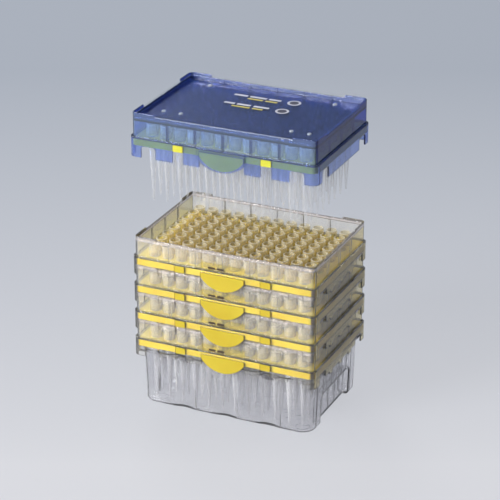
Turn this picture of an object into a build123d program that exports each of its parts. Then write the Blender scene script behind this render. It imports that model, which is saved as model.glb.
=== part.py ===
from build123d import *
from math import radians, tan
import os

# A space-saving refill stack of pipette tips: a clear base tray, four nested clear racks, and a
# fifth rack of tips held up over the stack in its blue transfer cover.
# Millimetres. X runs along the 12 columns, Y along the 8 rows with the front at -Y, Z is up.
# The origin is the middle of the footprint, on the surface that the base stands on.

# ---- tip grid and footprint
columns = 12
rows = 8
tip_spacing = 9.0
edge_margin_x = 11.3  # from an outer tip's axis to the outside of the rack's skirt
edge_margin_y = 10.1
corner_radius = 4.5

# ---- stacking
rack_count = 4
rack_pitch = 18.2
lift_height = 59.5  # how far the covered rack is held above its seat on the stack

# ---- walls and clearances
wall = 1.1
nest_gap = 0.2  # between walls that slide inside each other
seat_gap = 0.1  # under a piece that rests on another

# ---- one tip, measured from the top face of its plate
head_height = 7.8
head_radius = 3.6
head_chamfer = 0.25
mouth_radius = 2.85
mouth_depth = 6.0
shank_radius = 2.9
shank_length = 3.0
tip_wall = 0.5
tip_length = 41.0  # below the plate
end_radius = 0.55
end_bore_radius = 0.25
hole_clearance = 0.15

# ---- tip plate
deck_thickness = 1.6
flange_height = 4.1
flange_thickness = 1.2
rib_width = 1.0
rib_depth = 2.4
ribs_each_way = 3
rib_tips_x = 3  # tip spacings from rib to rib
rib_tips_y = 2
lug_distance = 28.4  # from the middle of the plate to a lug's middle
lug_width = 6.4
lug_clearance = 0.3
tab_half_width = 14.2
tab_drop = 11.5
tab_shoulder = 1.4  # from the deck's top down to the tab's top

# ---- skirt shared by the racks and the cover
leg_drop = 10.6
leg_reach = 8.2  # from the corner to the leg's edge
window_width = 9.5
window_radius = 2.0
hem_drop = 8.7  # hem between the legs
cover_skirt_drop = 11.3  # legs and hem of the cover, level with each other
side_foot_width = 4.0
side_foot_spacing = 15.0
side_feet = 3

# ---- upper walls of racks and cover
rim_height = 12.8
bead_height = 1.6  # thicker lip inside the rim
bead_depth = 0.6
post_reach = 15.0
pilaster_spacing = 18.0
pilasters_x = 5
pilasters_y = 3
pilaster_width = 1.4
pilaster_depth = 1.0

# ---- transfer cover
panel_clearance = 2.9  # over the tips' heads
panel_thickness = 1.2
cover_rim_rise = 2.6  # rim above the panel
cover_post_rise = 4.0
bulge_clearance = 0.3
bulge_bottom = 12.0
bulge_side_drop = 5.6
stud_radius = 1.3
stud_height = 0.8
stud_pair_spacing = 11.4
stud_inset_x = 19.3  # from the footprint's end to the middle of a pair
stud_front_y = 21.4
stud_back_y = 31.0

# ---- base tray
foot_height = 0.8
foot_radius = 4.0
foot_inset = 9.0
tip_end_clearance = 1.5
base_floor = 1.2
tray_ledge = 1.1  # how far the tray's walls stand in from the rim
tray_draft = 2.0  # degrees
tray_corner_radius = 9.0
tray_bottom_fillet = 2.5
post_rise = 2.8
flute_count = 3
flute_spacing = 28.5
flute_radius = 15.0
flute_depth = 2.6
grip_width = 45.0
grip_height = 21.0
grip_radius = 4.0
grip_tip_clearance = 0.9
latch_width = 6.2
latch_height = 4.4
latch_top_drop = 7.0  # below the first plate's top

# ---- derived sizes
grid_x = (columns - 1) * tip_spacing
grid_y = (rows - 1) * tip_spacing
footprint_x = grid_x + 2 * edge_margin_x
footprint_y = grid_y + 2 * edge_margin_y
skirt_inner_x = footprint_x - 2 * wall
skirt_inner_y = footprint_y - 2 * wall
neck_x = skirt_inner_x - 2 * nest_gap  # outside of the upper wall, which the next skirt slides over
neck_y = skirt_inner_y - 2 * nest_gap
neck_radius = corner_radius - wall - nest_gap
neck_inner_x = neck_x - 2 * wall
neck_inner_y = neck_y - 2 * wall
post_height = rack_pitch - flange_height - seat_gap
first_plate_top = foot_height + base_floor + tip_end_clearance + tip_length
lifted_plate_top = first_plate_top + rack_count * rack_pitch + lift_height
plate_step = wall + nest_gap  # from the plate's flange out to the skirt's outer face
panel_underside = seat_gap + head_height + panel_clearance
panel_top = panel_underside + panel_thickness
tall = 4 * rack_pitch  # long enough for any cut through a rack


def ring(outer_x, outer_y, radius, inner_x, inner_y, inner_radius):
    """Rounded rectangular band, drawn in the sketch that is open."""
    RectangleRounded(outer_x, outer_y, radius)
    RectangleRounded(inner_x, inner_y, inner_radius, mode=Mode.SUBTRACT)


def neck_ring():
    """Section of the upper wall."""
    ring(neck_x, neck_y, neck_radius, neck_inner_x, neck_inner_y, neck_radius - wall)


def upper_wall(rim, post_top):
    """Wall from the shoulder up to the rim, with ribs inside and four L-shaped posts on top."""
    rooted = pilaster_depth + wall / 2
    with BuildPart() as upper:
        with BuildSketch(Plane.XY.offset(seat_gap)):
            neck_ring()
            with GridLocations(pilaster_spacing, neck_inner_y + wall - rooted, pilasters_x, 2):
                Rectangle(pilaster_width, rooted)
            with GridLocations(neck_inner_x + wall - rooted, pilaster_spacing, 2, pilasters_y):
                Rectangle(rooted, pilaster_width)
        extrude(amount=rim - seat_gap)
        with BuildSketch(Plane.XY.offset(rim - bead_height)):
            bead_inner_x = neck_inner_x - 2 * bead_depth
            bead_inner_y = neck_inner_y - 2 * bead_depth
            ring(neck_x, neck_y, neck_radius, bead_inner_x, bead_inner_y, neck_radius - wall - bead_depth)
        extrude(amount=bead_height)
        add(corner_posts(rim, post_top))
    return upper.part


def corner_posts(bottom, top):
    """Four L-shaped posts that follow the upper wall round the corners."""
    with BuildPart() as posts:
        with BuildSketch(Plane.XY.offset(bottom)):
            neck_ring()
            Rectangle(neck_x - 2 * post_reach, 2 * neck_y, mode=Mode.SUBTRACT)
            Rectangle(2 * neck_x, neck_y - 2 * post_reach, mode=Mode.SUBTRACT)
        extrude(amount=top - bottom)
    return posts.part


def hanging_skirt(legs, hem):
    """Shoulder that sits on a plate's edge and the wall that hangs around its flange."""
    with BuildPart() as skirt:
        with BuildSketch(Plane.XY.offset(-legs)):
            ring(footprint_x, footprint_y, corner_radius, skirt_inner_x, skirt_inner_y, corner_radius - wall)
        extrude(amount=legs + seat_gap)
        with BuildSketch(Plane.XY.offset(seat_gap)):
            ring(footprint_x, footprint_y, corner_radius, neck_inner_x, neck_inner_y, neck_radius - wall)
        extrude(amount=wall)

        # windows beside the corner legs, in all four sides
        window_height = 2 * legs
        window_middle = -flange_height - window_height / 2
        window_x = footprint_x / 2 - leg_reach - window_width / 2
        window_y = footprint_y / 2 - leg_reach - window_width / 2
        with BuildSketch(Plane.XZ):
            with Locations((-window_x, window_middle), (window_x, window_middle)):
                RectangleRounded(window_width, window_height, window_radius)
        extrude(amount=footprint_y, both=True, mode=Mode.SUBTRACT)
        with BuildSketch(Plane.YZ):
            with Locations((-window_y, window_middle), (window_y, window_middle)):
                RectangleRounded(window_width, window_height, window_radius)
        extrude(amount=footprint_x, both=True, mode=Mode.SUBTRACT)

        # hem between the windows, with small feet along the two short sides
        with BuildSketch(Plane.XZ):
            with Locations((0, -hem)):
                Rectangle(2 * window_x, tall, align=(Align.CENTER, Align.MAX))
        extrude(amount=footprint_y, both=True, mode=Mode.SUBTRACT)
        with BuildSketch(Plane.YZ):
            with Locations((0, -hem)):
                Rectangle(2 * window_y, tall, align=(Align.CENTER, Align.MAX))
            with GridLocations(side_foot_spacing, 0, side_feet, 1):
                Rectangle(side_foot_width, 2 * legs, mode=Mode.SUBTRACT)
        extrude(amount=footprint_x, both=True, mode=Mode.SUBTRACT)

        # open slots for the plate's lugs, and the opening for its tab in front
        with BuildSketch(Plane.XZ):
            with Locations((-lug_distance, seat_gap), (lug_distance, seat_gap)):
                Rectangle(lug_width + 2 * lug_clearance, tall, align=(Align.CENTER, Align.MAX))
        extrude(amount=footprint_y, both=True, mode=Mode.SUBTRACT)
        with BuildSketch(Plane.XZ):
            with Locations((0, -tab_shoulder + lug_clearance)):
                Rectangle(2 * (tab_half_width + lug_clearance), tall, align=(Align.CENTER, Align.MAX))
        extrude(amount=footprint_y, mode=Mode.SUBTRACT)
    return skirt.part


def save(piece, label):
    """Label a finished piece and write it as STEP."""
    piece.label = label
    export_step(piece, f"parts/{label}.step")


os.makedirs("parts", exist_ok=True)

# ---- one tip: a collared head above the plate and a long hollow taper below it
head_top = seat_gap + head_height
with BuildPart() as tip:
    with BuildSketch(Plane.XZ):
        with BuildLine():
            Polyline(
                (mouth_radius, head_top),
                (head_radius - head_chamfer, head_top),
                (head_radius, head_top - head_chamfer),
                (head_radius, seat_gap),
                (shank_radius, seat_gap),
                (shank_radius, -shank_length),
                (end_radius, -tip_length),
                (end_bore_radius, -tip_length),
                (shank_radius - tip_wall, -shank_length),
                (mouth_radius, head_top - mouth_depth),
                close=True,
            )
        make_face()
    revolve(axis=Axis.Z)

# ---- tips of one rack, 96 separate solids
with BuildPart() as tip_set:
    with GridLocations(tip_spacing, tip_spacing, columns, rows):
        add(tip.part)

# ---- tip plate: a holed deck inside a flange, with lugs front and back and a half-moon tab in front
with BuildPart() as plate:
    with BuildSketch():
        RectangleRounded(neck_x, neck_y, neck_radius)
    extrude(amount=-flange_height)
    under_x = neck_x - 2 * flange_thickness
    under_y = neck_y - 2 * flange_thickness
    with BuildSketch(Plane.XY.offset(-flange_height)):
        RectangleRounded(under_x, under_y, neck_radius - flange_thickness)
    extrude(amount=flange_height - deck_thickness, mode=Mode.SUBTRACT)

    # stiffening ribs under the deck, midway between tips
    with BuildSketch(Plane.XY.offset(-deck_thickness - rib_depth)):
        with GridLocations(rib_tips_x * tip_spacing, 0, ribs_each_way, 1):
            Rectangle(rib_width, under_y)
        with GridLocations(0, rib_tips_y * tip_spacing, 1, ribs_each_way):
            Rectangle(under_x, rib_width)
    extrude(amount=rib_depth)

    with GridLocations(tip_spacing, tip_spacing, columns, rows):
        Hole(shank_radius + hole_clearance)

    # lugs that show through the skirt's slots, front and back
    lug_height = flange_height - seat_gap
    for face in (Plane.front, Plane.back):
        with BuildSketch(face.offset(neck_y / 2)):
            with Locations((-lug_distance, -flange_height / 2), (lug_distance, -flange_height / 2)):
                RectangleRounded(lug_width, lug_height, wall / 2)
        extrude(amount=plate_step)

    # half-moon tab in the plane of the skirt, joined to the flange along its top
    tab_side = -flange_height
    with BuildSketch(Plane.XZ.offset(neck_y / 2 + nest_gap)):
        with BuildLine():
            Polyline(
                (-tab_half_width, tab_side),
                (-tab_half_width, -tab_shoulder),
                (tab_half_width, -tab_shoulder),
                (tab_half_width, tab_side),
            )
            ThreePointArc((tab_half_width, tab_side), (0, -tab_drop), (-tab_half_width, tab_side))
        make_face()
    extrude(amount=wall)
    with BuildSketch(Plane.XZ.offset(neck_y / 2)):
        with Locations((0, (tab_side - tab_shoulder) / 2)):
            Rectangle(2 * tab_half_width, -tab_shoulder - tab_side)
    extrude(amount=nest_gap)

# ---- rack frame: the skirt, an upper wall around the tips' heads and four corner posts
with BuildPart() as rack_frame:
    add(hanging_skirt(leg_drop, hem_drop))
    add(upper_wall(rim_height, post_height))

# ---- transfer cover: the same skirt, a closed panel over the heads and a raised rim around it
cover_rim = panel_top + cover_rim_rise
cover_post = panel_top + cover_post_rise
shoulder_top = seat_gap + wall
with BuildPart() as transfer_cover:
    add(hanging_skirt(cover_skirt_drop, cover_skirt_drop))
    add(upper_wall(cover_rim, cover_post))
    with BuildSketch(Plane.XY.offset(panel_underside)):
        RectangleRounded(neck_inner_x + wall, neck_inner_y + wall, neck_radius)
    extrude(amount=panel_thickness)

    # round studs on the panel: a pair at each front corner, one at each back corner
    stud_x = footprint_x / 2 - stud_inset_x
    with BuildSketch(Plane.XY.offset(panel_top)):
        for side in (-1, 1):
            with Locations((side * stud_x, -stud_front_y)):
                with GridLocations(stud_pair_spacing, 0, 2, 1):
                    Circle(stud_radius)
            with Locations((side * stud_x, stud_back_y)):
                Circle(stud_radius)
    extrude(amount=stud_height)

    # D-shaped bulge in front of the plate's tab, open below so that the cover lifts straight off
    pocket_half_width = tab_half_width + bulge_clearance
    bulge_half_width = pocket_half_width + wall
    bulge_step = bulge_clearance + wall
    with BuildSketch(Plane.XZ.offset(skirt_inner_y / 2)):
        with BuildLine():
            Polyline(
                (-bulge_half_width, -bulge_side_drop),
                (-bulge_half_width, shoulder_top),
                (bulge_half_width, shoulder_top),
                (bulge_half_width, -bulge_side_drop),
            )
            arc_start = (bulge_half_width, -bulge_side_drop)
            ThreePointArc(arc_start, (0, -bulge_bottom), (-bulge_half_width, -bulge_side_drop))
        make_face()
    extrude(amount=wall + bulge_step)
    with BuildSketch(Plane.XZ.offset(skirt_inner_y / 2)):
        with Locations((0, -tab_shoulder + bulge_clearance)):
            Rectangle(2 * pocket_half_width, tall, align=(Align.CENTER, Align.MAX))
    extrude(amount=wall + bulge_clearance, mode=Mode.SUBTRACT)

# ---- base tray: a fluted tub with a grip hollow in each end
base_post_top = first_plate_top - flange_height - seat_gap
base_rim = base_post_top - post_rise
tub_height = base_rim - foot_height
lean = tan(radians(tray_draft))
tub_bottom_x = neck_x - 2 * tray_ledge - 2 * tub_height * lean
tub_bottom_y = neck_y - 2 * tray_ledge - 2 * tub_height * lean
cavity_bottom = foot_height + base_floor
cavity_inset = 2 * wall - 2 * base_floor * lean
grip_drop = first_plate_top - grip_height - wall
tip_taper = (shank_radius - end_radius) / (tip_length - shank_length)
grip_face = grid_x / 2 + shank_radius - tip_taper * (grip_drop - shank_length) + grip_tip_clearance + wall


def cut_flutes(radius):
    """Upright hollows down the two long walls, leaning with them, in the part that is open."""
    axis_y = tub_bottom_y / 2 + flute_radius - flute_depth
    for side in (-1, 1):
        for index in range(flute_count):
            x = (index - (flute_count - 1) / 2) * flute_spacing
            start = Plane(origin=(x, side * axis_y, foot_height), x_dir=(1, 0, 0), z_dir=(0, side * lean, 1))
            with Locations(start):
                Cylinder(radius, 3 * tub_height, mode=Mode.SUBTRACT)


def grip_hollows(growth):
    """Room for finger and thumb in the two short walls, grown to leave a wall around it."""
    with BuildPart() as hollows:
        for end in (Plane.right, Plane.left):
            with BuildSketch(end.offset(grip_face - growth)):
                RectangleRounded(grip_width + 2 * growth, 2 * (grip_height + growth), grip_radius + growth)
            extrude(amount=footprint_x)
    return hollows.part


with BuildPart() as tub_cavity:
    with BuildSketch(Plane.XY.offset(cavity_bottom)):
        RectangleRounded(tub_bottom_x - cavity_inset, tub_bottom_y - cavity_inset, tray_corner_radius - wall)
    extrude(amount=tub_height, taper=-tray_draft)
    fillet(tub_cavity.edges().group_by(Axis.Z)[0], tray_bottom_fillet - wall)
    cut_flutes(flute_radius + wall)
    add(grip_hollows(wall), mode=Mode.SUBTRACT)

with BuildPart() as base_tray:
    with BuildSketch(Plane.XY.offset(foot_height)):
        RectangleRounded(tub_bottom_x, tub_bottom_y, tray_corner_radius)
    extrude(amount=tub_height, taper=-tray_draft)
    fillet(base_tray.edges().group_by(Axis.Z)[0], tray_bottom_fillet)
    cut_flutes(flute_radius)
    add(grip_hollows(0), mode=Mode.SUBTRACT)

    # ledge around the top, and the latches that stand in the first rack's slots
    with BuildSketch(Plane.XY.offset(base_rim - wall)):
        RectangleRounded(neck_x, neck_y, neck_radius)
    extrude(amount=wall)
    latch_top = first_plate_top - latch_top_drop
    latch_face = footprint_y / 2 - nest_gap
    latch_root = neck_y / 2 - tray_ledge - wall
    latch_back = latch_root - flute_depth
    latch_slope = latch_face - latch_root
    for x in (-lug_distance, lug_distance):
        for side in (-1, 1):
            with BuildSketch(Plane.YZ.offset(x)):
                with BuildLine():
                    Polyline(
                        (side * latch_back, latch_top),
                        (side * latch_face, latch_top),
                        (side * latch_face, latch_top - latch_height + latch_slope),
                        (side * latch_root, latch_top - latch_height),
                        (side * latch_back, latch_top - latch_height),
                        close=True,
                    )
                make_face()
            extrude(amount=latch_width / 2, both=True)
    add(tub_cavity.part, mode=Mode.SUBTRACT)
    add(corner_posts(base_rim, base_post_top))
    with BuildSketch():
        with GridLocations(tub_bottom_x - 2 * foot_inset, tub_bottom_y - 2 * foot_inset, 2, 2):
            Circle(foot_radius)
    extrude(amount=foot_height)

# ---- place and write every piece
save(base_tray.part, "base_tray")
for number in range(1, rack_count + 1):
    seat = Location((0, 0, first_plate_top + (number - 1) * rack_pitch))
    save(plate.part.moved(seat), f"rack_{number}_plate")
    save(rack_frame.part.moved(seat), f"rack_{number}_frame")
    save(tip_set.part.moved(seat), f"rack_{number}_tips")
held = Location((0, 0, lifted_plate_top))
save(plate.part.moved(held), "lifted_plate")
save(tip_set.part.moved(held), "lifted_tips")
save(transfer_cover.part.moved(held), "transfer_cover")
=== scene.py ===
from math import radians

import bpy
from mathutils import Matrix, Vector


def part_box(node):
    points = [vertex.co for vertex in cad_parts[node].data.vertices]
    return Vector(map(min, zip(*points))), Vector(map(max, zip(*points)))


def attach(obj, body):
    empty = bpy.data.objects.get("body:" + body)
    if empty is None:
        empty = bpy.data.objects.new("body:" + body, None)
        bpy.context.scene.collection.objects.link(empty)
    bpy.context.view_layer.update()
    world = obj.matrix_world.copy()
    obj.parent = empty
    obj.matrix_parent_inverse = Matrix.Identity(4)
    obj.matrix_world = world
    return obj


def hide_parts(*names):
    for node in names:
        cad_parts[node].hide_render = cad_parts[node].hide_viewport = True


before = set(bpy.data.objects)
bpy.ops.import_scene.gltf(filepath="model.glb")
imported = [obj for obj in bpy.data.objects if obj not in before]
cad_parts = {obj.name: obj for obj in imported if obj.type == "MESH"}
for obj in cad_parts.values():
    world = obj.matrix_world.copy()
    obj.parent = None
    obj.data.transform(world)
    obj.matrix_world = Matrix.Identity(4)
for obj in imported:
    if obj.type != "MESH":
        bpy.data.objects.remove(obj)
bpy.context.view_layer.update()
mm = 0.001
racks = ["rack_1", "rack_2", "rack_3", "rack_4"]
everyRack = racks + ["lifted"]
bodyOf = {rack: "stack" for rack in racks}
bodyOf["lifted"] = "lifted_rack"
tipReach = 41  # from a plate's top down to its tips' ends, in mm
plateTop = {rack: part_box(rack + "_tips")[0].z + tipReach * mm for rack in everyRack}
print("frame loaded:", len(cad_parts), "nodes")


def deselectAll():
    for other in bpy.context.selected_objects:
        other.select_set(False)


def makeActive(piece):
    deselectAll()
    piece.select_set(True)
    bpy.context.view_layer.objects.active = piece


def namePiece(piece, name, body, materials):
    # clearing the materials would reset the faces' numbers, so those are kept aside
    faceSlots = [face.material_index for face in piece.data.polygons]
    piece.name = piece.data.name = name
    piece.data.materials.clear()
    for material in materials:
        piece.data.materials.append(material)
    piece.data.polygons.foreach_set("material_index", faceSlots)
    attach(piece, body)


# Materials: every pattern lies on Object coordinates, in metres.
def startMaterial(name):
    material = bpy.data.materials.new(name)
    material.use_nodes = True
    material.node_tree.nodes.clear()
    return material, material.node_tree.nodes, material.node_tree.links


def finishMaterial(nodes, links, shader, body=None):
    output = nodes.new("ShaderNodeOutputMaterial")
    links.new(shader, output.inputs["Surface"])
    if body is not None:
        links.new(body, output.inputs["Volume"])


def addNoise(nodes, links, features, detail=3.0):
    # features is how many there are in a metre along X, Y and Z
    place = nodes.new("ShaderNodeTexCoord")
    mapping = nodes.new("ShaderNodeMapping")
    mapping.inputs["Scale"].default_value = features
    noise = nodes.new("ShaderNodeTexNoise")
    noise.inputs["Scale"].default_value = 1.0
    noise.inputs["Detail"].default_value = detail
    links.new(place.outputs["Object"], mapping.inputs["Vector"])
    links.new(mapping.outputs["Vector"], noise.inputs["Vector"])
    return noise.outputs["Fac"]


def addRange(nodes, links, value, low, high, fromLow=0.3, fromHigh=0.7):
    # most of a noise lies between 0.3 and 0.7
    spread = nodes.new("ShaderNodeMapRange")
    spread.inputs["From Min"].default_value = fromLow
    spread.inputs["From Max"].default_value = fromHigh
    spread.inputs["To Min"].default_value = low
    spread.inputs["To Max"].default_value = high
    links.new(value, spread.inputs["Value"])
    return spread.outputs["Result"]


def addTint(nodes, links, value, first, second):
    tint = nodes.new("ShaderNodeMix")
    tint.data_type = "RGBA"
    tint.inputs[6].default_value = (*first, 1)
    tint.inputs[7].default_value = (*second, 1)
    links.new(value, tint.inputs[0])
    return tint.outputs[2]


def addMost(nodes, links, first, second):
    most = nodes.new("ShaderNodeMath")
    most.operation = "MAXIMUM"
    links.new(first, most.inputs[0])
    links.new(second, most.inputs[1])
    return most.outputs[0]


def addBump(nodes, links, height, strength, depth, before=None):
    bump = nodes.new("ShaderNodeBump")
    bump.inputs["Strength"].default_value = strength
    bump.inputs["Distance"].default_value = depth
    links.new(height, bump.inputs["Height"])
    if before is not None:
        links.new(before, bump.inputs["Normal"])
    return bump.outputs["Normal"]


def addBlend(nodes, links, share, first, second):
    # the first shader where share is 0, the second where it is 1
    blend = nodes.new("ShaderNodeMixShader")
    links.new(share, blend.inputs["Fac"])
    links.new(first, blend.inputs[1])
    links.new(second, blend.inputs[2])
    return blend.outputs["Shader"]


def addPlastic(nodes, links, look):
    # moulded plastic: slow colour drift, flow lines in the gloss, sink marks and a fine grain
    surface = nodes.new("ShaderNodeBsdfPrincipled")
    surface.inputs["IOR"].default_value = look["ior"]
    drift = addRange(nodes, links, addNoise(nodes, links, look["driftFeatures"]), 0, 1)
    links.new(addTint(nodes, links, drift, *look["tints"]), surface.inputs["Base Color"])
    flow = addNoise(nodes, links, look["flowFeatures"], detail=4.0)
    links.new(addRange(nodes, links, flow, *look["roughness"]), surface.inputs["Roughness"])
    dips = addNoise(nodes, links, look["sinkFeatures"], detail=1.0)
    sinks = addBump(nodes, links, dips, *look["sinks"])
    links.new(addBump(nodes, links, flow, *look["grain"], sinks), surface.inputs["Normal"])
    return surface


def clearMaterial(name, look):
    # see-through walls that bend what is behind them and let the lamps shine in
    material, nodes, links = startMaterial(name)
    surface = addPlastic(nodes, links, look)
    surface.inputs["Transmission Weight"].default_value = look["clear"]
    path = nodes.new("ShaderNodeLightPath")
    letThrough = nodes.new("ShaderNodeBsdfTransparent")
    letThrough.inputs["Color"].default_value = (*look["lampTint"], 1)
    lit, shade = surface.outputs["BSDF"], letThrough.outputs["BSDF"]
    either = addBlend(nodes, links, path.outputs["Is Shadow Ray"], lit, shade)
    depth = nodes.new("ShaderNodeVolumeAbsorption")  # long ways through the plastic come out dark
    depth.inputs["Color"].default_value = (*look["depthTint"], 1)
    depth.inputs["Density"].default_value = look["depth"]
    finishMaterial(nodes, links, either, depth.outputs["Volume"])
    return material


def milkyMaterial(name, look):
    # thin natural plastic: milky, and more solid where it turns away
    material, nodes, links = startMaterial(name)
    surface = addPlastic(nodes, links, look)
    turn = nodes.new("ShaderNodeLayerWeight")
    turn.inputs["Blend"].default_value = look["turnBlend"]
    solid = addRange(nodes, links, turn.outputs["Facing"], *look["solid"], 0, 1)
    gaps = nodes.new("ShaderNodeBsdfTransparent")
    gaps.inputs["Color"].default_value = (*look["lampTint"], 1)
    film = addBlend(nodes, links, solid, gaps.outputs["BSDF"], surface.outputs["BSDF"])
    finishMaterial(nodes, links, film)
    return material


def solidMaterial(name, look):
    material, nodes, links = startMaterial(name)
    surface = addPlastic(nodes, links, look)
    surface.inputs["Subsurface Weight"].default_value = look["glow"]
    surface.inputs["Subsurface Scale"].default_value = look["glowDepth"]
    finishMaterial(nodes, links, surface.outputs["BSDF"])
    return material


# In a look, Features are counts in a metre, and sinks and grain are a bump's strength and depth.
clearLook = {
    "tints": ((0.99, 0.98, 0.96), (0.96, 0.95, 0.92)), "ior": 1.5, "clear": 0.90,
    "lampTint": (0.97, 0.97, 0.975), "depthTint": (0.36, 0.34, 0.30), "depth": 45.0,
    "driftFeatures": (30, 30, 45), "flowFeatures": (400, 400, 60), "roughness": (0.01, 0.04),
    "sinkFeatures": (110, 110, 25), "sinks": (0.15, 0.3 * mm), "grain": (0.04, 0.02 * mm),
}
clearLipLook = {**clearLook, "tints": ((0.98, 0.92, 0.90), (0.94, 0.88, 0.86)), "clear": 0.76}
# painted shade: the racks' side walls get a darker, browner tint than the front
clearShadedSideLook = {**clearLook, "tints": ((0.88, 0.80, 0.54), (0.82, 0.74, 0.48)), "clear": 0.98}
clearSkirtLook = {**clearLook, "tints": ((0.99, 0.98, 0.95), (0.96, 0.95, 0.91)), "clear": 0.985}
# painted glow: a yellow tint on the front wall where the plate's tab lies behind it
clearTabGlowLook = {**clearLook, "tints": ((0.99, 0.90, 0.48), (0.95, 0.85, 0.42)), "clear": 0.84}
clearEdgeLook = {
    **clearLook, "tints": ((0.97, 0.98, 0.99), (0.92, 0.94, 0.96)), "roughness": (0.08, 0.16),
}
trayLook = {
    **clearLook, "tints": ((0.95, 0.95, 0.96), (0.84, 0.84, 0.86)), "clear": 0.96,
    "depthTint": (0.40, 0.38, 0.42), "depth": 50.0,
    "sinkFeatures": (210, 210, 9), "sinks": (0.8, 0.6 * mm),
}
blueLook = {
    **clearLook, "tints": ((0.58, 0.77, 1.0), (0.52, 0.71, 1.0)), "clear": 0.88,
    "lampTint": (0.84, 0.90, 0.98), "depthTint": (0.12, 0.26, 0.80), "depth": 300.0,
    "sinks": (0.03, 0.3 * mm),
}
# painted shade: the panel's dark blue; its higher roughness blurs what lies under it
blueShadedPanelLook = {
    **blueLook, "tints": ((0.15, 0.24, 0.48), (0.12, 0.21, 0.43)), "clear": 0.95,
    "roughness": (0.14, 0.22),
}
blueSkirtLook = {**blueLook, "tints": ((0.50, 0.62, 0.92), (0.44, 0.55, 0.86)), "clear": 0.92}
# painted shade: a deeper blue on the rim above the panel
blueShadedRimLook = {**blueLook, "tints": ((0.30, 0.46, 1.0), (0.26, 0.41, 0.94)), "clear": 0.84}
# painted shade: dark navy on the cover's sides
blueShadedSideLook = {**blueLook, "tints": ((0.10, 0.17, 0.62), (0.08, 0.14, 0.56)), "clear": 0.94}
# painted shade: dark navy lines on the ribs
blueRibShadeLook = {**blueLook, "tints": ((0.14, 0.20, 0.60), (0.11, 0.16, 0.52)), "clear": 0.96}
# painted glint: a pale, more solid blue on the studs
blueStudGlintLook = {**blueLook, "tints": ((0.80, 0.88, 0.98), (0.74, 0.82, 0.94)), "clear": 0.5}
# painted shade: a darker blue on the rounded edges; their higher roughness is the edges' own
blueEdgeShadeLook = {
    **blueLook, "tints": ((0.40, 0.50, 0.86), (0.34, 0.44, 0.82)), "roughness": (0.08, 0.16),
}
yellowLook = {
    "tints": ((0.66, 0.51, 0.030), (0.60, 0.44, 0.020)), "ior": 1.49, "glow": 0.12, "glowDepth": 1.5 * mm,
    "driftFeatures": (60, 60, 60), "flowFeatures": (300, 300, 300), "roughness": (0.28, 0.42),
    "sinkFeatures": (140, 140, 140), "sinks": (0.2, 0.2 * mm), "grain": (0.15, 0.02 * mm),
}
lemonLook = {**yellowLook, "tints": ((0.70, 0.67, 0.05), (0.64, 0.60, 0.035))}
# painted shading: a tint of its own for the decks' level faces, for how light falls on them
deckShadingLook = {**yellowLook, "tints": ((0.74, 0.60, 0.022), (0.64, 0.51, 0.015)), "glow": 0.05}
tipLook = {
    "tints": ((1.0, 1.0, 1.0), (0.62, 0.62, 0.64)), "ior": 1.45, "lampTint": (0.985, 0.985, 0.985),
    "turnBlend": 0.35, "solid": (0.04, 0.48),
    "driftFeatures": (200, 200, 5), "flowFeatures": (600, 600, 120), "roughness": (0.10, 0.22),
    "sinkFeatures": (400, 400, 100), "sinks": (0.1, 0.1 * mm), "grain": (0.1, 0.02 * mm),
}
# painted shade: tips inside the stack get a darker copy of the tip plastic, its tone running from white to
# dark grey in streaks
nestedTipShadeLook = {
    **tipLook, "tints": ((1.0, 1.0, 1.0), (0.30, 0.30, 0.33)), "solid": (0.10, 0.70),
    "driftFeatures": (160, 160, 4),
}
# painted glow: the heads' tan, warmer than the shanks of the same plastic, is the plate's yellow light
headPlateGlowLook = {
    **tipLook, "tints": ((0.95, 0.91, 0.74), (0.82, 0.77, 0.58)), "lampTint": (0.96, 0.93, 0.84),
    "solid": (0.16, 0.55), "driftFeatures": (120, 120, 60),
}
# painted glow: the collar just over the plate is tinted with the plate's yellow light
collarPlateGlowLook = {
    **headPlateGlowLook, "tints": ((0.93, 0.83, 0.42), (0.84, 0.72, 0.32)), "lampTint": (0.95, 0.90, 0.70),
}
# painted highlight: the tips' upward rim faces are paler and more solid
rimHighlightLook = {
    **headPlateGlowLook, "tints": ((0.97, 0.94, 0.86), (0.90, 0.86, 0.76)), "solid": (0.30, 0.60),
}
inkLook = {
    "tints": ((0.05, 0.035, 0.02), (0.09, 0.06, 0.03)), "ior": 1.45, "glow": 0.0, "glowDepth": 1.5 * mm,
    "driftFeatures": (900, 900, 900), "flowFeatures": (1500, 1500, 1500), "roughness": (0.45, 0.65),
    "sinkFeatures": (500, 500, 500), "sinks": (0.1, 0.02 * mm), "grain": (0.3, 0.02 * mm),
}
paleInkLook = {**inkLook, "tints": ((0.60, 0.60, 0.66), (0.50, 0.50, 0.58))}
yellowInkLook = {**inkLook, "tints": ((0.58, 0.50, 0.10), (0.48, 0.40, 0.08))}
navyInkLook = {**inkLook, "tints": ((0.030, 0.034, 0.075), (0.022, 0.025, 0.055))}

clearRack = clearMaterial("clearRack", clearLook)
clearLip = clearMaterial("clearLip", clearLipLook)
clearShadedSide = clearMaterial("clearShadedSide", clearShadedSideLook)
clearSkirt = clearMaterial("clearSkirt", clearSkirtLook)
clearTabGlow = clearMaterial("clearTabGlow", clearTabGlowLook)
clearEdge = clearMaterial("clearEdge", clearEdgeLook)
clearTray = clearMaterial("clearTray", trayLook)
blueCover = clearMaterial("blueCover", blueLook)
blueShadedPanel = clearMaterial("blueShadedPanel", blueShadedPanelLook)
blueSkirt = clearMaterial("blueSkirt", blueSkirtLook)
blueShadedRim = clearMaterial("blueShadedRim", blueShadedRimLook)
blueShadedSide = clearMaterial("blueShadedSide", blueShadedSideLook)
blueRibShade = clearMaterial("blueRibShade", blueRibShadeLook)
blueStudGlint = clearMaterial("blueStudGlint", blueStudGlintLook)
blueEdgeShade = clearMaterial("blueEdgeShade", blueEdgeShadeLook)
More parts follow.
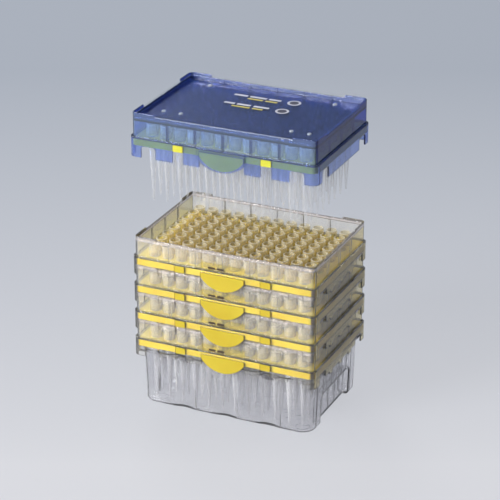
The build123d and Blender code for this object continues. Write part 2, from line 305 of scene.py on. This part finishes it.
yellowPlate = solidMaterial("yellowPlate", yellowLook)
yellowDeckShading = solidMaterial("yellowDeckShading", deckShadingLook)
lemonPlate = solidMaterial("lemonPlate", lemonLook)
naturalTip = milkyMaterial("naturalTip", tipLook)
nestedTipShade = milkyMaterial("nestedTipShade", nestedTipShadeLook)
naturalHeadPlateGlow = milkyMaterial("naturalHeadPlateGlow", headPlateGlowLook)
naturalCollarPlateGlow = milkyMaterial("naturalCollarPlateGlow", collarPlateGlowLook)
naturalRimHighlight = milkyMaterial("naturalRimHighlight", rimHighlightLook)
darkInk = solidMaterial("darkInk", inkLook)
paleInk = solidMaterial("paleInk", paleInkLook)
yellowInk = solidMaterial("yellowInk", yellowInkLook)
navyInk = solidMaterial("navyInk", navyInkLook)
print("materials made")

# Moulded pieces: merged copies of the CAD nodes, with the small rounded edges of a real moulding.
upright, level = (1, 0, 0), (0, 0, 1)  # what an upright cut and a level one are square to
squarely, flatly, upward = 0.8, 0.9, 0.5  # least normal of a side face, a level one and one that looks up
moulding = {
    "merge": 0.002 * mm, "flat": 0.5, "smooth": 40, "steps": 2,
    "slot": 1,  # place of the edges' material among a piece's own
}


def applyModifier(piece, kind, settings):
    modifier = piece.modifiers.new(kind.lower(), kind)
    for setting, value in settings.items():
        setattr(modifier, setting, value)
    bpy.ops.object.modifier_apply(modifier=modifier.name)


def cutMesh(cuts):
    # new edges where each cut, a place and a direction square to it, crosses the active piece
    for place, across in cuts:
        bpy.ops.object.mode_set(mode="EDIT")
        bpy.ops.mesh.select_all(action="SELECT")
        bpy.ops.mesh.bisect(plane_co=place, plane_no=across)
        bpy.ops.object.mode_set(mode="OBJECT")


def copyNode(node):
    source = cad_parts[node]
    piece = bpy.data.objects.new(node, source.data.copy())
    bpy.context.collection.objects.link(piece)
    makeActive(piece)
    bpy.ops.object.mode_set(mode="EDIT")
    bpy.ops.mesh.customdata_custom_splitnormals_clear()
    bpy.ops.mesh.select_all(action="SELECT")
    bpy.ops.mesh.remove_doubles(threshold=moulding["merge"])
    bpy.ops.object.mode_set(mode="OBJECT")
    for spare in range(moulding["slot"] + 1):  # a rounding only takes a slot that is there
        piece.data.materials.append(None)
    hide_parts(node)
    return piece


def roundEdges(node, radius, before=(), after=()):
    # before and after are cuts made ahead of the rounding and behind it
    piece = copyNode(node)
    bpy.ops.object.mode_set(mode="EDIT")
    bpy.ops.mesh.select_all(action="SELECT")
    bpy.ops.mesh.dissolve_limited(angle_limit=radians(moulding["flat"]))
    bpy.ops.object.mode_set(mode="OBJECT")
    cutMesh(before)
    applyModifier(piece, "BEVEL", {
        "width": radius, "segments": moulding["steps"], "material": moulding["slot"],
        "limit_method": "ANGLE", "angle_limit": radians(moulding["smooth"]), "use_clamp_overlap": False,
    })
    cutMesh(after)
    bpy.ops.object.shade_smooth_by_angle(angle=radians(moulding["smooth"]))
    applyModifier(piece, "WEIGHTED_NORMAL", {"keep_sharp": True})
    return piece


def paintFaces(piece, materials, finishOf, top):
    # finishOf gives a face's material, or None to leave it, from its place, normal and rise over top
    for face in piece.data.polygons:
        material = finishOf(face.center, face.normal, face.center.z - top)
        if material is not None:
            face.material_index = materials.index(material)


rackWall = {
    "radius": 0.18 * mm, "lip": (11.25 * mm, 12.9 * mm), "side": 57 * mm, "skirt": 40.4 * mm,
    "tabGlowTop": 5.5 * mm, "tabGlowSide": 14.5 * mm, "tabGlowFront": -38.5 * mm,
}
wallMaterials = (clearRack, clearEdge, clearLip, clearShadedSide, clearSkirt, clearTabGlow)


def wallFinish(place, normal, rise):
    if normal.z > -upward and rackWall["lip"][0] < rise < rackWall["lip"][1]:
        return clearLip
    # both side walls take the painted shade
    if abs(normal.x) > squarely and abs(place.x) > rackWall["side"]:
        return clearShadedSide
    if abs(normal.y) > squarely and abs(place.y) > rackWall["skirt"]:
        return clearSkirt
    isMiddle = abs(place.x) < rackWall["tabGlowSide"] and place.y < rackWall["tabGlowFront"]
    if rise < rackWall["tabGlowTop"] and isMiddle and abs(normal.y) > squarely:
        return clearTabGlow  # painted glow: the yellow of the tab behind it, painted into the wall
    return None


for rack in racks:
    rises = (rackWall["lip"][0], rackWall["tabGlowTop"])
    cuts = [((0, 0, plateTop[rack] + rise), level) for rise in rises]
    cuts += [((x, 0, 0), upright) for x in (-rackWall["tabGlowSide"], rackWall["tabGlowSide"])]
    wall = roundEdges(rack + "_frame", rackWall["radius"], after=cuts)
    paintFaces(wall, wallMaterials, wallFinish, plateTop[rack])
    namePiece(wall, rack + "_wall", "stack", wallMaterials)
print("rack walls done")

plateDeck = {"deck": (-2 * mm, 1 * mm)}


def deckFinish(place, normal, rise):
    # the deck's level faces take the painted shading
    isDeck = abs(normal.z) > flatly and plateDeck["deck"][0] < rise < plateDeck["deck"][1]
    return yellowDeckShading if isDeck else None


# the plates keep their crisp edges: lugs as high as the flange leave no room to round them
for rack in everyRack:
    deckMaterials = (lemonPlate if rack == "lifted" else yellowPlate, yellowDeckShading)
    deck = copyNode(rack + "_plate")
    bpy.ops.object.shade_smooth_by_angle(angle=radians(moulding["smooth"]))
    paintFaces(deck, deckMaterials, deckFinish, plateTop[rack])
    namePiece(deck, rack + "_deck", bodyOf[rack], deckMaterials)
print("plates done")

coverShell = {  # ribs and studs lie within a half width and a half depth
    "radius": 0.2 * mm, "skirtTop": -1 * mm, "side": 57.8 * mm, "rimBottom": 12.1 * mm,
    "panel": (10 * mm, 13 * mm), "studs": (50 * mm, 33 * mm), "ribBottom": 2 * mm,
    "ribs": (50 * mm, 34 * mm), "ribFaces": ((57.2 * mm, 57.6 * mm), (38.0 * mm, 38.4 * mm)),
}
coverMaterials = (blueCover, blueEdgeShade, blueShadedPanel, blueSkirt, blueRibShade, blueStudGlint, blueShadedRim, blueShadedSide)


def isRib(farX, farY, normal):
    # a rib's two sides, or its inner face
    (sideLow, sideHigh), (frontLow, frontHigh) = coverShell["ribFaces"]
    if abs(normal.x) > squarely:
        return farX < coverShell["ribs"][0] or sideLow < farX < sideHigh
    return abs(normal.y) > squarely and (farY < coverShell["ribs"][1] or frontLow < farY < frontHigh)


def coverFinish(place, normal, rise):
    farX, farY = abs(place.x), abs(place.y)
    if rise < coverShell["skirtTop"]:
        return blueSkirt
    # both sides of the cover take the painted shade
    if abs(normal.x) > squarely and farX > coverShell["side"]:
        return blueShadedSide
    # the rim above the panel takes painted shade
    if rise > coverShell["rimBottom"]:
        # the studs take the painted glint
        isStud = farX < coverShell["studs"][0] and farY < coverShell["studs"][1]
        return blueStudGlint if isStud else blueShadedRim
    # the ribs take the painted shade
    if rise > coverShell["ribBottom"] and isRib(farX, farY, normal):
        return blueRibShade
    # the panel's level faces take the painted shade
    isPanel = abs(normal.z) > flatly and coverShell["panel"][0] < rise < coverShell["panel"][1]
    return blueShadedPanel if isPanel else None


cover = roundEdges("transfer_cover", coverShell["radius"])
paintFaces(cover, coverMaterials, coverFinish, plateTop["lifted"])
namePiece(cover, "cover_shell", "transfer_cover", coverMaterials)
print("cover done")

trayShell = {
    "radius": 0.2 * mm,
    "splits": (-48.12, -14.25, 14.25, 48.12),  # in mm along X, cuts through it ahead of the rounding
}
splits = [((x * mm, 0, 0), upright) for x in trayShell["splits"]]
tray = roundEdges("base_tray", trayShell["radius"], before=splits)
namePiece(tray, "tray_shell", "stack", (clearTray, clearEdge))
print("tray done")

# Tips: one is turned ring by ring, then repeated over the rack's grid.
tipShape = {  # rings are a radius and a height over the plate, in mm
    "around": 12, "columns": 12, "rows": 8, "spacing": 9.0 * mm, "smooth": 35, "rim": 7.7, "collar": 3.6,
    "mouth": (2.85, 7.9),
    "outside": ((3.35, 7.9), (3.6, 7.65), (3.6, 3.6), (3.6, 0.1), (2.9, 0.1), (2.9, -3.0), (0.55, -tipReach)),
    "inside": ((0.25, -tipReach), (2.4, -3.0), (2.85, 1.9)),
}


def tipFinish(place, normal, rise):
    # the rim's upward faces take the painted highlight
    if rise > tipShape["rim"] * mm and normal.z > upward:
        return naturalRimHighlight
    # the head takes the painted glow
    if rise > tipShape["collar"] * mm:
        return naturalHeadPlateGlow
    # the collar takes the painted glow
    return naturalCollarPlateGlow if rise > 0 else None


def makeTips(shape, top, materials):
    firstX = -(shape["columns"] - 1) / 2 * shape["spacing"]
    firstY = -(shape["rows"] - 1) / 2 * shape["spacing"]
    radius, height = shape["mouth"]
    deselectAll()
    mouth = (firstX, firstY, top + height * mm)
    bpy.ops.mesh.primitive_circle_add(vertices=shape["around"], radius=radius * mm, location=mouth)
    piece = bpy.context.object
    bpy.ops.object.transform_apply(location=True)
    bpy.ops.object.mode_set(mode="EDIT")
    bpy.ops.mesh.select_all(action="SELECT")
    for nextRadius, nextHeight in shape["outside"] + shape["inside"]:
        rise = (0, 0, (nextHeight - height) * mm)
        bpy.ops.mesh.extrude_region_move(TRANSFORM_OT_translate={"value": rise})
        share = nextRadius / radius
        centre = (firstX, firstY, top + nextHeight * mm)
        bpy.ops.transform.resize(value=(share, share, 1), center_override=centre)
        radius, height = nextRadius, nextHeight
    bpy.ops.mesh.select_all(action="DESELECT")
    bpy.ops.mesh.select_non_manifold()
    bpy.ops.mesh.bridge_edge_loops()
    bpy.ops.mesh.select_all(action="SELECT")
    bpy.ops.mesh.normals_make_consistent(inside=False)
    bpy.ops.object.mode_set(mode="OBJECT")
    bpy.ops.object.shade_smooth_by_angle(angle=radians(shape["smooth"]))
    paintFaces(piece, materials, tipFinish, top)
    along = (shape["columns"], (shape["spacing"], 0, 0))
    across = (shape["rows"], (0, shape["spacing"], 0))
    for count, step in (along, across):
        applyModifier(piece, "ARRAY", {
            "count": count, "use_relative_offset": False, "use_constant_offset": True,
            "constant_offset_displace": step,
        })
    return piece


for rack in everyRack:
    # tips inside the stack take the painted shade
    shank = naturalTip if rack == "lifted" else nestedTipShade
    tipMaterials = (shank, naturalHeadPlateGlow, naturalRimHighlight, naturalCollarPlateGlow)
    tips = makeTips(tipShape, plateTop[rack], tipMaterials)
    namePiece(tips, rack + "_tip_set", bodyOf[rack], tipMaterials)
    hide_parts(rack + "_tips")
print("tips done")

# Print: plain bars on the racks' fronts and on the cover's panel, in mm.
printed = {"thickness": 0.06, "steps": 6, "smooth": 40, "straight": 1e-9}
rackBars = {"xs": (-7.4, -1.6), "front": -40.3, "rise": 2.3, "length": 4.8, "height": 1.4, "corner": 0.5}
coverBars = {  # each bar is its middle along X and Y, then its length and height
    "rise": 12.0,
    "pale": {"ink": paleInk, "corner": 0.5, "layer": 0, "bars": (
        (-18.0, 9.0, 7.0, 2.4), (-8.5, 9.0, 9.0, 2.4), (3.0, 9.0, 10.0, 2.4),
        (-17.0, 24.0, 9.0, 2.4), (-5.5, 24.0, 11.0, 2.4), (5.5, 24.0, 8.0, 2.4),
    )},
    "yellow": {"ink": yellowInk, "corner": 0.5, "layer": 0, "bars": (
        (-9.0, 5.2, 12.0, 1.9), (2.0, 5.2, 7.0, 1.9), (-6.0, 20.2, 10.0, 1.9), (4.5, 20.2, 8.0, 1.9),
    )},
    "disc": {"ink": paleInk, "corner": 4.1, "layer": 0, "bars": (
        (17.0, 8.0, 8.4, 8.4), (18.0, 24.0, 8.4, 8.4),
    )},
    "core": {"ink": navyInk, "corner": 2.7, "layer": 1, "bars": (
        (17.0, 8.0, 5.6, 5.6), (18.0, 24.0, 5.6, 5.6),
    )},
}


def addBar(low, high, thin, corner):
    # a printed patch with round corners, thin along the axis called thin
    deselectAll()
    middle = [(a + b) / 2 for a, b in zip(low, high)]
    bpy.ops.mesh.primitive_cube_add(size=1, location=middle)
    bar = bpy.context.object
    bar.scale = [b - a for a, b in zip(low, high)]
    bpy.ops.object.transform_apply(location=True, scale=True)
    bpy.ops.object.mode_set(mode="EDIT")
    bpy.ops.mesh.select_mode(type="EDGE")
    bpy.ops.mesh.select_all(action="DESELECT")
    bpy.ops.object.mode_set(mode="OBJECT")
    for edge in bar.data.edges:
        a, b = (bar.data.vertices[index].co for index in edge.vertices)
        edge.select = abs(abs((b - a)[thin]) - (b - a).length) < printed["straight"]
    bpy.ops.object.mode_set(mode="EDIT")
    bpy.ops.mesh.bevel(offset=corner * mm, segments=printed["steps"])
    bpy.ops.object.mode_set(mode="OBJECT")
    bpy.ops.object.shade_smooth_by_angle(angle=radians(printed["smooth"]))
    return bar


front = rackBars["front"] * mm
for rack in racks:
    bottom = plateTop[rack] + (rackBars["rise"] - rackBars["height"] / 2) * mm
    for number, x in enumerate(rackBars["xs"], 1):
        low = ((x - rackBars["length"] / 2) * mm, front - printed["thickness"] * mm, bottom)
        high = ((x + rackBars["length"] / 2) * mm, front, bottom + rackBars["height"] * mm)
        bar = addBar(low, high, 1, rackBars["corner"])
        namePiece(bar, f"{rack}_bar_{number}", "stack", [darkInk])
for kind in ("pale", "yellow", "disc", "core"):
    group = coverBars[kind]
    bottom = plateTop["lifted"] + (coverBars["rise"] + group["layer"] * printed["thickness"]) * mm
    for number, (x, y, length, height) in enumerate(group["bars"], 1):
        low = ((x - length / 2) * mm, (y - height / 2) * mm, bottom)
        high = ((x + length / 2) * mm, (y + height / 2) * mm, bottom + printed["thickness"] * mm)
        bar = addBar(low, high, 2, group["corner"])
        namePiece(bar, f"cover_{kind}_bar_{number}", "transfer_cover", [group["ink"]])
print("print done")

# Floor and backdrop: one sheet of paper, with painted shade that deepens its grey away from the front.
paper = {
    "size": 8, "near": (0.690, 0.697, 0.735), "far": (0.400, 0.434, 0.497),
    "nearAt": -0.09, "farAt": 0.62, "turn": 24.4, "curve": 0.75,  # how early the grey deepens
    "seenGlow": 0.8, "throughGlow": 0.9, "mirrorGlow": 0.35, "glowEnds": (0.45, 1.1), "farGlow": 0.15,
}


def paperMaterial(look):
    material, nodes, links = startMaterial("paper")
    place = nodes.new("ShaderNodeTexCoord")
    turned = nodes.new("ShaderNodeMapping")
    turned.inputs["Rotation"].default_value = (0, 0, radians(-look["turn"]))
    split = nodes.new("ShaderNodeSeparateXYZ")
    links.new(place.outputs["Object"], turned.inputs["Vector"])
    links.new(turned.outputs["Vector"], split.inputs["Vector"])
    fade = nodes.new("ShaderNodeMath")
    fade.operation = "POWER"
    fade.inputs[1].default_value = look["curve"]
    away = addRange(nodes, links, split.outputs["Y"], 0, 1, look["nearAt"], look["farAt"])
    links.new(away, fade.inputs[0])
    colour = addTint(nodes, links, fade.outputs[0], look["near"], look["far"])
    lit = nodes.new("ShaderNodeBsdfDiffuse")
    glow = nodes.new("ShaderNodeEmission")
    links.new(colour, lit.inputs["Color"])
    links.new(colour, glow.inputs["Color"])
    path = nodes.new("ShaderNodeLightPath")
    seen = addRange(nodes, links, path.outputs["Is Camera Ray"], 0, look["seenGlow"], 0, 1)
    through = addRange(nodes, links, path.outputs["Is Transmission Ray"], 0, look["throughGlow"], 0, 1)
    mirrored = addRange(nodes, links, path.outputs["Is Glossy Ray"], 0, look["mirrorGlow"], 0, 1)
    share = addMost(nodes, links, addMost(nodes, links, seen, through), mirrored)
    reach = nodes.new("ShaderNodeVectorMath")
    reach.operation = "LENGTH"
    links.new(place.outputs["Object"], reach.inputs[0])
    close = addRange(nodes, links, reach.outputs["Value"], 1, look["farGlow"], *look["glowEnds"])
    links.new(addMost(nodes, links, close, path.outputs["Is Camera Ray"]), glow.inputs["Strength"])
    finishMaterial(nodes, links, addBlend(nodes, links, share, lit.outputs["BSDF"], glow.outputs["Emission"]))
    return material


deselectAll()
bpy.ops.mesh.primitive_plane_add(size=paper["size"], location=(0, 0, 0))
floor = bpy.context.object
floor.name = "floor"
floor.data.materials.append(paperMaterial(paper))

# Room: pale where it is seen, dark where it is mirrored or bent, soft and even where it lights.
room = {
    "seen": (0.43, 0.46, 0.52), "horizon": (0.30, 0.31, 0.34), "dark": (0.035, 0.035, 0.04),
    "upEnds": (0.05, 0.5), "rightEnds": (-0.1, 0.7), "light": (0.86, 0.90, 1.0), "lightPower": 0.32,
}


def makeRoom(look):
    world = bpy.data.worlds.new("room")
    world.use_nodes = True
    nodes, links = world.node_tree.nodes, world.node_tree.links
    nodes.clear()
    place = nodes.new("ShaderNodeTexCoord")
    split = nodes.new("ShaderNodeSeparateXYZ")
    links.new(place.outputs["Generated"], split.inputs["Vector"])
    up = addRange(nodes, links, split.outputs["Z"], 0, 1, *look["upEnds"])
    right = addRange(nodes, links, split.outputs["X"], 0, 1, *look["rightEnds"])
    walls = nodes.new("ShaderNodeBackground")
    shade = addTint(nodes, links, addMost(nodes, links, up, right), look["horizon"], look["dark"])
    links.new(shade, walls.inputs["Color"])
    seen = nodes.new("ShaderNodeBackground")
    seen.inputs["Color"].default_value = (*look["seen"], 1)
    light = nodes.new("ShaderNodeBackground")
    light.inputs["Color"].default_value = (*look["light"], 1)
    light.inputs["Strength"].default_value = look["lightPower"]
    path = nodes.new("ShaderNodeLightPath")
    shown = walls.outputs["Background"]
    for ray, other in (("Is Camera Ray", seen), ("Is Diffuse Ray", light)):
        shown = addBlend(nodes, links, path.outputs[ray], shown, other.outputs["Background"])
    output = nodes.new("ShaderNodeOutputWorld")
    links.new(shown, output.inputs["Surface"])
    return world


lampAim = (0, 0, 0.1)
lamps = {  # place, size and power
    "keyLamp": ((-1.0, -1.7, 0.85), 0.8, 44),
    "backLamp": ((-0.9, 1.1, 1.3), 0.6, 12),
    "topLamp": ((-0.1, 0.0, 1.9), 0.9, 6),
}
view = {
    "place": (0.5105, -1.1258, 0.6408), "aim": (-0.0004, 0, 0.0985),
    "lens": 158.54, "sensor": 36, "reach": 50,
}
bounces = {"max_bounces": 24, "transmission_bounces": 24, "transparent_max_bounces": 48}


def holdAt(name, data, place, aim):
    # an object for a lamp or the camera, which looks from its place at its aim
    holder = bpy.data.objects.new(name, data)
    holder.location = place
    holder.rotation_euler = (Vector(aim) - Vector(place)).to_track_quat("-Z", "Y").to_euler()
    bpy.context.collection.objects.link(holder)
    return holder


for name, (place, size, power) in lamps.items():
    lamp = bpy.data.lights.new(name, "AREA")
    lamp.size = size
    lamp.energy = power
    holdAt(name, lamp, place, lampAim).visible_camera = False
camera = bpy.data.cameras.new("camera")
camera.lens = view["lens"]
camera.sensor_width = view["sensor"]
camera.clip_end = view["reach"]
scene = bpy.context.scene
scene.camera = holdAt("camera", camera, view["place"], view["aim"])
scene.world = makeRoom(room)
scene.view_settings.view_transform = "Standard"
for bounce, most in bounces.items():  # many see-through walls lie behind each other
    setattr(scene.cycles, bounce, most)
print("light and camera ready")
